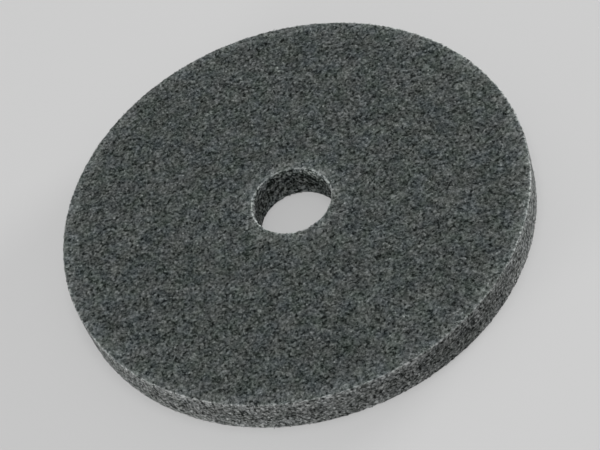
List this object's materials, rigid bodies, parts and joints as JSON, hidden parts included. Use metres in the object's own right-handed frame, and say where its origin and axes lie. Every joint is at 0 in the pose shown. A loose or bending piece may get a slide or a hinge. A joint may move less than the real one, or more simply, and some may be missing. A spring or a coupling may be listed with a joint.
{
  "type": "unitized abrasive wheel",
  "caption": "Flat dark grey disc of compressed non-woven abrasive web with a plain round arbor hole, for deburring and finishing on a bench or hand grinder.",
  "frame": {"origin": "on the arbor hole's axis, in the plane of the lower face that the wheel lies on", "axes": "+Z along the wheel's axis, from the lower face to the upper face; X and Y are any two directions across the disc"},
  "size_m": [0.1524, 0.1524, 0.0127],
  "materials": {
    "abrasive_web": "matt, rough, compressed fibre and grit with fine dark pores"
  },
  "bodies": {
    "root": {"abrasive_wheel": "abrasive_web"}
  },
  "joints": []
}
